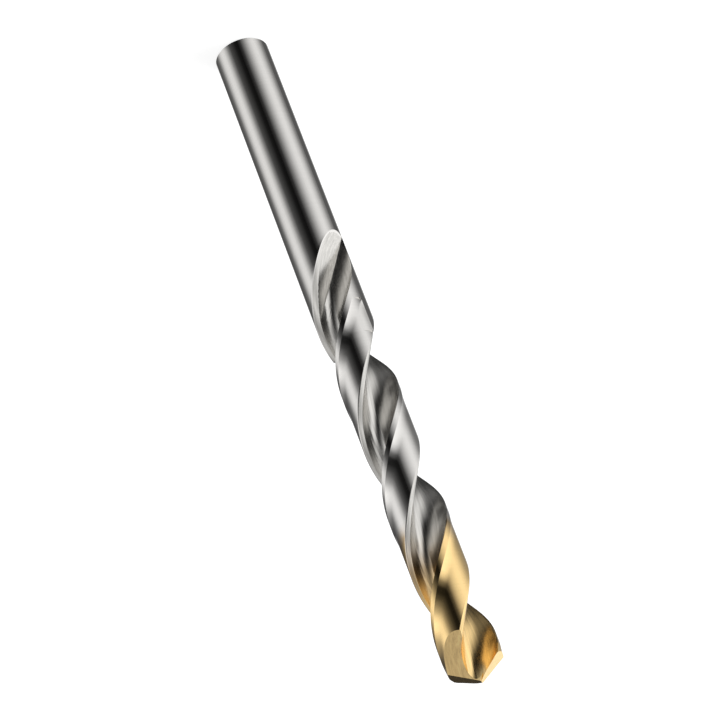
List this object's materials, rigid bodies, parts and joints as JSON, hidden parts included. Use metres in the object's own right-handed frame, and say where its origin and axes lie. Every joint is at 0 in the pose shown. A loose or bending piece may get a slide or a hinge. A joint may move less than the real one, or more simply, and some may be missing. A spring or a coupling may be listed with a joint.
{
  "type": "twist drill bit",
  "caption": "Straight-shank jobber twist drill bit with helical flutes, ground body clearance and a split four-facet point",
  "frame": {"origin": "centre of the flat end of the shank, on the drill's axis", "axes": "+Z along the drill's axis towards the point, +X along the first cutting lip, +Y square to both"},
  "size_m": [0.01, 0.01, 0.133],
  "materials": {
    "steel": "bright ground high-speed steel, with a gold titanium nitride coating that fades in over the last quarter towards the point"
  },
  "bodies": {
    "root": {"drill_bit": "steel"}
  },
  "joints": []
}
